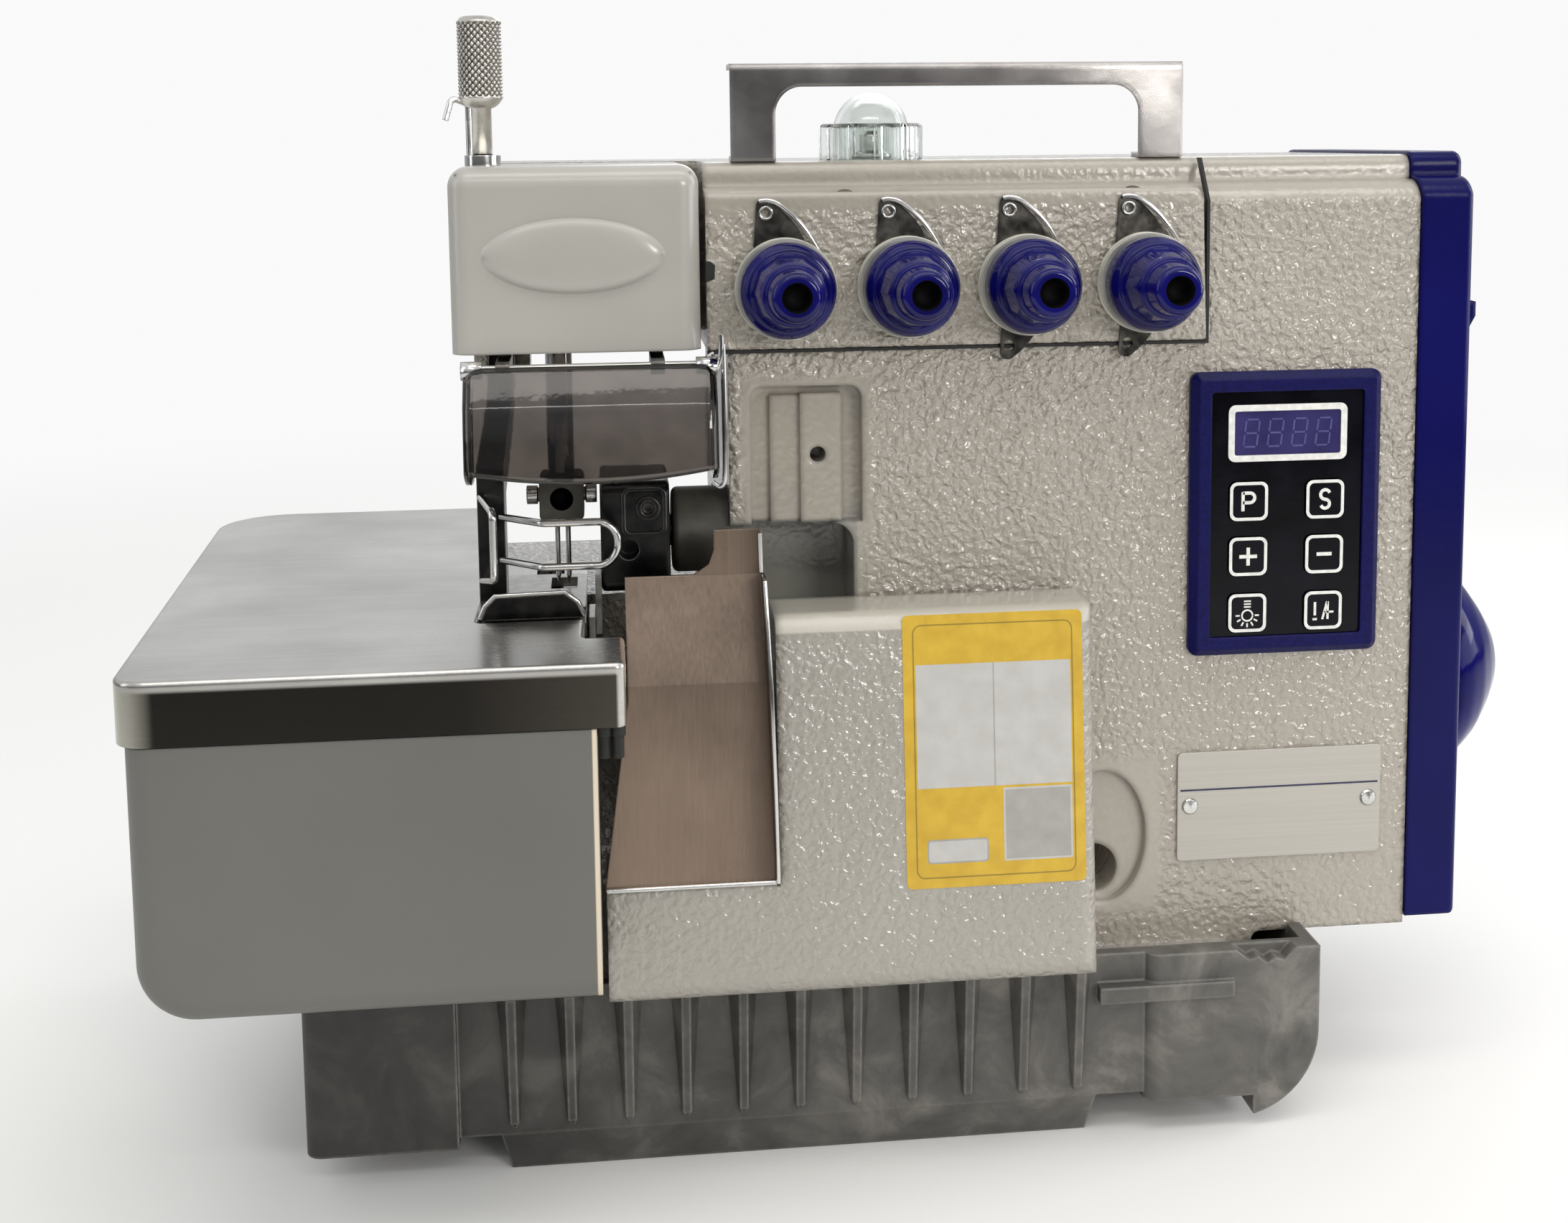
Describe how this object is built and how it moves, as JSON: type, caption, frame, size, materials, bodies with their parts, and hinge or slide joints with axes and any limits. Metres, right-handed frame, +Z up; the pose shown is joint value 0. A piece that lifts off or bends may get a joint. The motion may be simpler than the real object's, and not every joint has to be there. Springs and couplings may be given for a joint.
{
  "type": "overlock sewing machine",
  "caption": "Industrial overlock sewing machine head with tension knobs, needle and looper area, swing-out cloth plate, folding front cover, control panel and handwheel.",
  "frame": {"origin": "on the plane of the sump's flat underside, under the middle of the machine", "axes": "+X to the operator's right, towards the handwheel; +Y away from the operator; +Z up"},
  "size_m": [0.443, 0.226, 0.341],
  "materials": {
    "frame_enamel": "hammered gloss enamel",
    "cover_enamel": "smooth gloss enamel",
    "blue_enamel": "smooth gloss enamel",
    "base_enamel": "rough dark finish, worn at the edges",
    "blue_plastic": "glossy moulding",
    "grey_plastic": "satin moulding",
    "black_plastic": "gloss",
    "display_plastic": "gloss",
    "stainless": "polished sheet",
    "chrome": "bright plating",
    "disc_steel": "polished",
    "dark_steel": "machined",
    "steel": "ground",
    "clear_plastic": "clear moulding",
    "smoked_plastic": "clear tinted moulding",
    "plate_metal": "satin sheet",
    "motor_steel": "laminations and shell"
  },
  "bodies": {
    "frame": {"arm_bushing": "dark_steel", "base_casting": "base_enamel", "cover_screws": "chrome", "guard_bracket": "dark_steel", "guard_pin": "chrome", "head_cover": "cover_enamel", "looper_rod_brackets": "steel", "lower_knife": "steel", "lower_thread_guides": "dark_steel", "machine_frame": "frame_enamel", "motor": "motor_steel", "needle_plate": "stainless", "oil_sight_dome": "clear_plastic", "oil_sight_ring": "clear_plastic", "panel_bezel": "blue_plastic", "panel_display": "display_plastic", "panel_face": "black_plastic", "plate_hinge_post": "steel", "plate_rivets": "chrome", "presser_shaft": "steel", "pressure_locknut": "chrome", "rating_plate": "plate_metal", "side_cover": "blue_enamel", "tension_cover_plate": "frame_enamel", "tension_discs": "disc_steel", "tension_posts": "steel", "thread_bracket": "chrome", "upper_thread_guides": "dark_steel", "wire_thread_guide": "chrome"},
    "handwheel": {"handwheel": "blue_plastic", "main_shaft": "steel"},
    "eye_guard": {"eye_guard": "smoked_plastic"},
    "needle_bar": {"needle_bar": "chrome", "needle_clamp": "dark_steel", "needles": "chrome"},
    "presser_foot": {"presser_arm": "dark_steel", "presser_foot": "steel", "finger_guard": "chrome"},
    "pressure_knob": {"pressure_knob": "chrome"},
    "upper_knife": {"upper_knife_arm": "dark_steel", "upper_knife": "steel"},
    "lower_looper": {"lower_looper": "steel"},
    "upper_looper": {"upper_looper": "steel"},
    "feed_dog": {"feed_dog": "dark_steel"},
    "cloth_plate": {"cloth_plate": "stainless", "left_cover": "grey_plastic"},
    "looper_slide": {"looper_rod": "steel"},
    "looper_cover": {"looper_cover": "frame_enamel", "waste_chute": "stainless"},
    "tension_knob_1": {"tension_knob_1": "blue_plastic"},
    "tension_knob_2": {"tension_knob_2": "blue_plastic"},
    "tension_knob_3": {"tension_knob_3": "blue_plastic"},
    "tension_knob_4": {"tension_knob_4": "blue_plastic"},
    "key_p": {"key_p": "black_plastic"},
    "key_s": {"key_s": "black_plastic"},
    "key_plus": {"key_plus": "black_plastic"},
    "key_minus": {"key_minus": "black_plastic"},
    "key_lamp": {"key_lamp": "black_plastic"},
    "key_needle": {"key_needle": "black_plastic"}
  },
  "joints": [
    {"name": "handwheel_turn", "type": "hinge", "parent": "frame", "child": "handwheel", "pos_m": [0.2, 0, 0.124], "axis": [1, 0, 0], "continuous": true},
    {"name": "eye_guard_lift", "type": "hinge", "parent": "frame", "child": "eye_guard", "pos_m": [-0.07, -0.0745, 0.2405], "axis": [-1, 0, 0], "range_deg": [0, 90]},
    {"name": "needle_bar_stroke", "type": "slide", "parent": "frame", "child": "needle_bar", "axis": [0, 0, 1], "range_m": [-0.018, 0.006]},
    {"name": "presser_lift", "type": "hinge", "parent": "frame", "child": "presser_foot", "pos_m": [-0.0995, 0.036, 0.236], "axis": [-1, 0, 0], "range_deg": [0, 5]},
    {"name": "pressure_turn", "type": "hinge", "parent": "frame", "child": "pressure_knob", "pos_m": [-0.0989, -0.056, 0.3], "axis": [0, 0, 1], "range_deg": [-360, 360]},
    {"name": "upper_knife_swing", "type": "hinge", "parent": "frame", "child": "upper_knife", "pos_m": [-0.05, -0.045, 0.187], "axis": [1, 0, 0], "range_deg": [-10, 10]},
    {"name": "lower_looper_swing", "type": "hinge", "parent": "frame", "child": "lower_looper", "pos_m": [-0.052, -0.03, 0.092], "axis": [0, 1, 0], "range_deg": [-12, 4]},
    {"name": "upper_looper_swing", "type": "hinge", "parent": "frame", "child": "upper_looper", "pos_m": [-0.041, -0.03, 0.121], "axis": [0, 1, 0], "range_deg": [-12, 12]},
    {"name": "feed_rock", "type": "slide", "parent": "frame", "child": "feed_dog", "axis": [0, 1, 0], "range_m": [-0.0018, 0.0018]},
    {"name": "cloth_plate_swing", "type": "hinge", "parent": "frame", "child": "cloth_plate", "pos_m": [-0.13, 0.06, 0.16], "axis": [0, 0, -1], "range_deg": [0, 70]},
    {"name": "looper_cover_slide", "type": "slide", "parent": "frame", "child": "looper_slide", "axis": [1, 0, 0], "range_m": [0, 0.006]},
    {"name": "looper_cover_fold", "type": "hinge", "parent": "looper_slide", "child": "looper_cover", "pos_m": [0, -0.088, 0.065], "axis": [1, 0, 0], "range_deg": [0, 70]},
    {"name": "tension_knob_1_turn", "type": "hinge", "parent": "frame", "child": "tension_knob_1", "pos_m": [-0.012, -0.08, 0.2615], "axis": [0, 1, 0], "range_deg": [-360, 360]},
    {"name": "tension_knob_2_turn", "type": "hinge", "parent": "frame", "child": "tension_knob_2", "pos_m": [0.0242, -0.08, 0.2615], "axis": [0, 1, 0], "range_deg": [-360, 360]},
    {"name": "tension_knob_3_turn", "type": "hinge", "parent": "frame", "child": "tension_knob_3", "pos_m": [0.0604, -0.08, 0.2615], "axis": [0, 1, 0], "range_deg": [-360, 360]},
    {"name": "tension_knob_4_turn", "type": "hinge", "parent": "frame", "child": "tension_knob_4", "pos_m": [0.0966, -0.08, 0.2615], "axis": [0, 1, 0], "range_deg": [-360, 360]},
    {"name": "key_p_press", "type": "slide", "parent": "frame", "child": "key_p", "axis": [0, 1, 0], "range_m": [0, 0.0006], "stiffness_N_per_m": 500, "springref_m": -0.0002},
    {"name": "key_s_press", "type": "slide", "parent": "frame", "child": "key_s", "axis": [0, 1, 0], "range_m": [0, 0.0006], "stiffness_N_per_m": 500, "springref_m": -0.0002},
    {"name": "key_plus_press", "type": "slide", "parent": "frame", "child": "key_plus", "axis": [0, 1, 0], "range_m": [0, 0.0006], "stiffness_N_per_m": 500, "springref_m": -0.0002},
    {"name": "key_minus_press", "type": "slide", "parent": "frame", "child": "key_minus", "axis": [0, 1, 0], "range_m": [0, 0.0006], "stiffness_N_per_m": 500, "springref_m": -0.0002},
    {"name": "key_lamp_press", "type": "slide", "parent": "frame", "child": "key_lamp", "axis": [0, 1, 0], "range_m": [0, 0.0006], "stiffness_N_per_m": 500, "springref_m": -0.0002},
    {"name": "key_needle_press", "type": "slide", "parent": "frame", "child": "key_needle", "axis": [0, 1, 0], "range_m": [0, 0.0006], "stiffness_N_per_m": 500, "springref_m": -0.0002}
  ]
}
